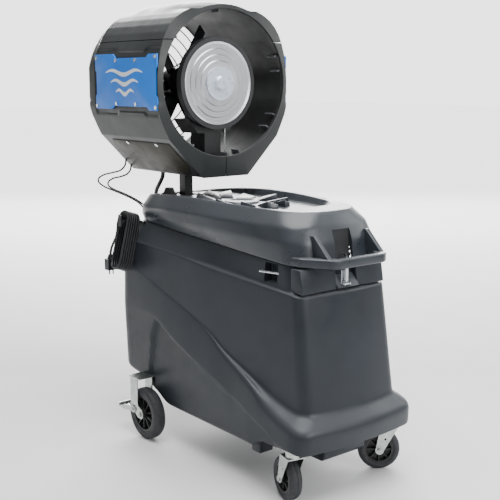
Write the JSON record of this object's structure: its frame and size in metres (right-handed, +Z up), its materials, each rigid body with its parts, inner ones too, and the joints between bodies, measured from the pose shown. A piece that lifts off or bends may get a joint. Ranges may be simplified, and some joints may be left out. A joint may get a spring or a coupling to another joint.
{
  "type": "evaporative cooler",
  "caption": "Wheeled evaporative cooler: moulded water tank on casters, hinged lid with handle, drum fan head with spinning disc on a mast, wound mains lead",
  "frame": {"origin": "centre of the bounding box in plan, on the floor under the wheels, measured without the cables, hose and lead", "axes": "+Z up, +X towards the right of somebody facing the way the air comes from, -Y towards the front, where the handle and the fan outlet are"},
  "size_m": [0.67, 1.2989, 1.6659],
  "materials": {
    "body_plastic": "satin moulded polyethylene, charcoal grey",
    "lid_plastic": "satin moulded polyethylene, charcoal grey",
    "head_plastic": "satin moulded plastic, dark grey",
    "black_plastic": "matt black",
    "black_steel": "satin black powder coat",
    "bright_steel": "bright plated",
    "zinc_steel": "zinc plated, slightly dull",
    "disc_metal": "satin spun aluminium",
    "panel_blue": "satin blue enamel",
    "switch_red": "glossy red",
    "cable_rubber": "satin black rubber",
    "rim_plastic": "matt black nylon",
    "tyre_rubber": "matt dark grey rubber"
  },
  "bodies": {
    "cart": {"tank": "body_plastic", "drain_plug": "black_plastic", "lid_hinge": "black_steel", "latch_base": "bright_steel", "side_rod": "bright_steel", "pump": "black_plastic", "junction_box": "black_plastic", "hose_fitting": "black_plastic", "cord_bracket": "black_steel", "cord_gland": "black_plastic", "mast": "black_steel", "mast_base": "black_steel", "caster_fl_plate": "zinc_steel", "caster_fr_plate": "zinc_steel", "rear_l_bracket": "zinc_steel", "rear_l_axle": "zinc_steel", "rear_r_bracket": "zinc_steel", "rear_r_axle": "zinc_steel", "head_cable_a": "cable_rubber", "head_cable_b": "cable_rubber", "water_hose": "cable_rubber", "cord_lead": "cable_rubber", "cord_tail": "cable_rubber", "cord_hank": "cable_rubber", "plug": "cable_rubber"},
    "lid": {"lid": "lid_plastic"},
    "fill_cap": {"fill_cap": "black_plastic"},
    "latch": {"latch": "bright_steel"},
    "switch": {"rocker_switch": "switch_red"},
    "front_left_fork": {"caster_fl_fork": "zinc_steel", "caster_fl_axle": "zinc_steel"},
    "front_left_wheel": {"caster_fl_rim": "rim_plastic", "caster_fl_tyre": "tyre_rubber"},
    "front_right_fork": {"caster_fr_fork": "zinc_steel", "caster_fr_axle": "zinc_steel"},
    "front_right_wheel": {"caster_fr_rim": "rim_plastic", "caster_fr_tyre": "tyre_rubber"},
    "rear_left_wheel": {"rear_l_rim": "rim_plastic", "rear_l_tyre": "tyre_rubber"},
    "rear_left_pedal": {"rear_l_pedal": "zinc_steel"},
    "rear_right_wheel": {"rear_r_rim": "rim_plastic", "rear_r_tyre": "tyre_rubber"},
    "rear_right_pedal": {"rear_r_pedal": "zinc_steel"},
    "head": {"pan_collar": "black_steel", "head_frame": "black_steel", "shell_left": "head_plastic", "shell_right": "head_plastic", "shell_top": "head_plastic", "panel_left": "panel_blue", "panel_right": "panel_blue", "head_screws": "bright_steel", "shell_latch": "black_plastic", "rear_guard": "black_steel", "motor": "black_steel", "feed_tube": "black_plastic"},
    "rotor": {"shaft": "bright_steel", "fan": "black_plastic", "slinger_ring": "black_plastic", "disc": "disc_metal", "disc_cap": "disc_metal"}
  },
  "joints": [
    {"name": "lid_lift", "type": "hinge", "parent": "cart", "child": "lid", "pos_m": [0, 0.462, 0.826], "axis": [-1, 0, 0], "range_deg": [0, 12]},
    {"name": "fill_cap_turn", "type": "hinge", "parent": "lid", "child": "fill_cap", "pos_m": [-0.1, 0.352, 0.93], "axis": [0, 0, 1], "range_deg": [0, 90]},
    {"name": "latch_swing", "type": "hinge", "parent": "cart", "child": "latch", "pos_m": [0, -0.534, 0.708], "axis": [1, 0, 0], "range_deg": [0, 25]},
    {"name": "switch_rock", "type": "hinge", "parent": "cart", "child": "switch", "pos_m": [-0.042, 0.536, 0.745], "axis": [1, 0, 0], "range_deg": [-10, 0]},
    {"name": "front_left_swivel", "type": "hinge", "parent": "cart", "child": "front_left_fork", "pos_m": [-0.23, -0.535, 0.15], "axis": [0, 0, 1], "continuous": true},
    {"name": "front_left_roll", "type": "hinge", "parent": "front_left_fork", "child": "front_left_wheel", "pos_m": [-0.22016, -0.49829, 0.075], "axis": [0.9659, -0.2588, 0], "continuous": true},
    {"name": "front_right_swivel", "type": "hinge", "parent": "cart", "child": "front_right_fork", "pos_m": [0.23, -0.535, 0.15], "axis": [0, 0, 1], "continuous": true},
    {"name": "front_right_roll", "type": "hinge", "parent": "front_right_fork", "child": "front_right_wheel", "pos_m": [0.20047, -0.51109, 0.075], "axis": [0.6293, 0.7771, 0], "continuous": true},
    {"name": "rear_left_roll", "type": "hinge", "parent": "cart", "child": "rear_left_wheel", "pos_m": [-0.2845, 0.253, 0.1], "axis": [1, 0, 0], "continuous": true},
    {"name": "rear_right_roll", "type": "hinge", "parent": "cart", "child": "rear_right_wheel", "pos_m": [0.2845, 0.253, 0.1], "axis": [1, 0, 0], "continuous": true},
    {"name": "rear_left_brake", "type": "hinge", "parent": "cart", "child": "rear_left_pedal", "pos_m": [-0.293, 0.297, 0.112], "axis": [-1, 0, 0], "range_deg": [0, 12]},
    {"name": "rear_right_brake", "type": "hinge", "parent": "cart", "child": "rear_right_pedal", "pos_m": [0.293, 0.297, 0.112], "axis": [-1, 0, 0], "range_deg": [0, 12]},
    {"name": "head_pan", "type": "hinge", "parent": "cart", "child": "head", "pos_m": [0, 0.38, 1.02], "axis": [0, 0, 1], "range_deg": [-45, 45], "deforming": ["head_cable_a", "head_cable_b", "water_hose"]},
    {"name": "rotor_spin", "type": "hinge", "parent": "head", "child": "rotor", "pos_m": [0, 0.16, 1.358], "axis": [0, 1, 0], "continuous": true}
  ]
}
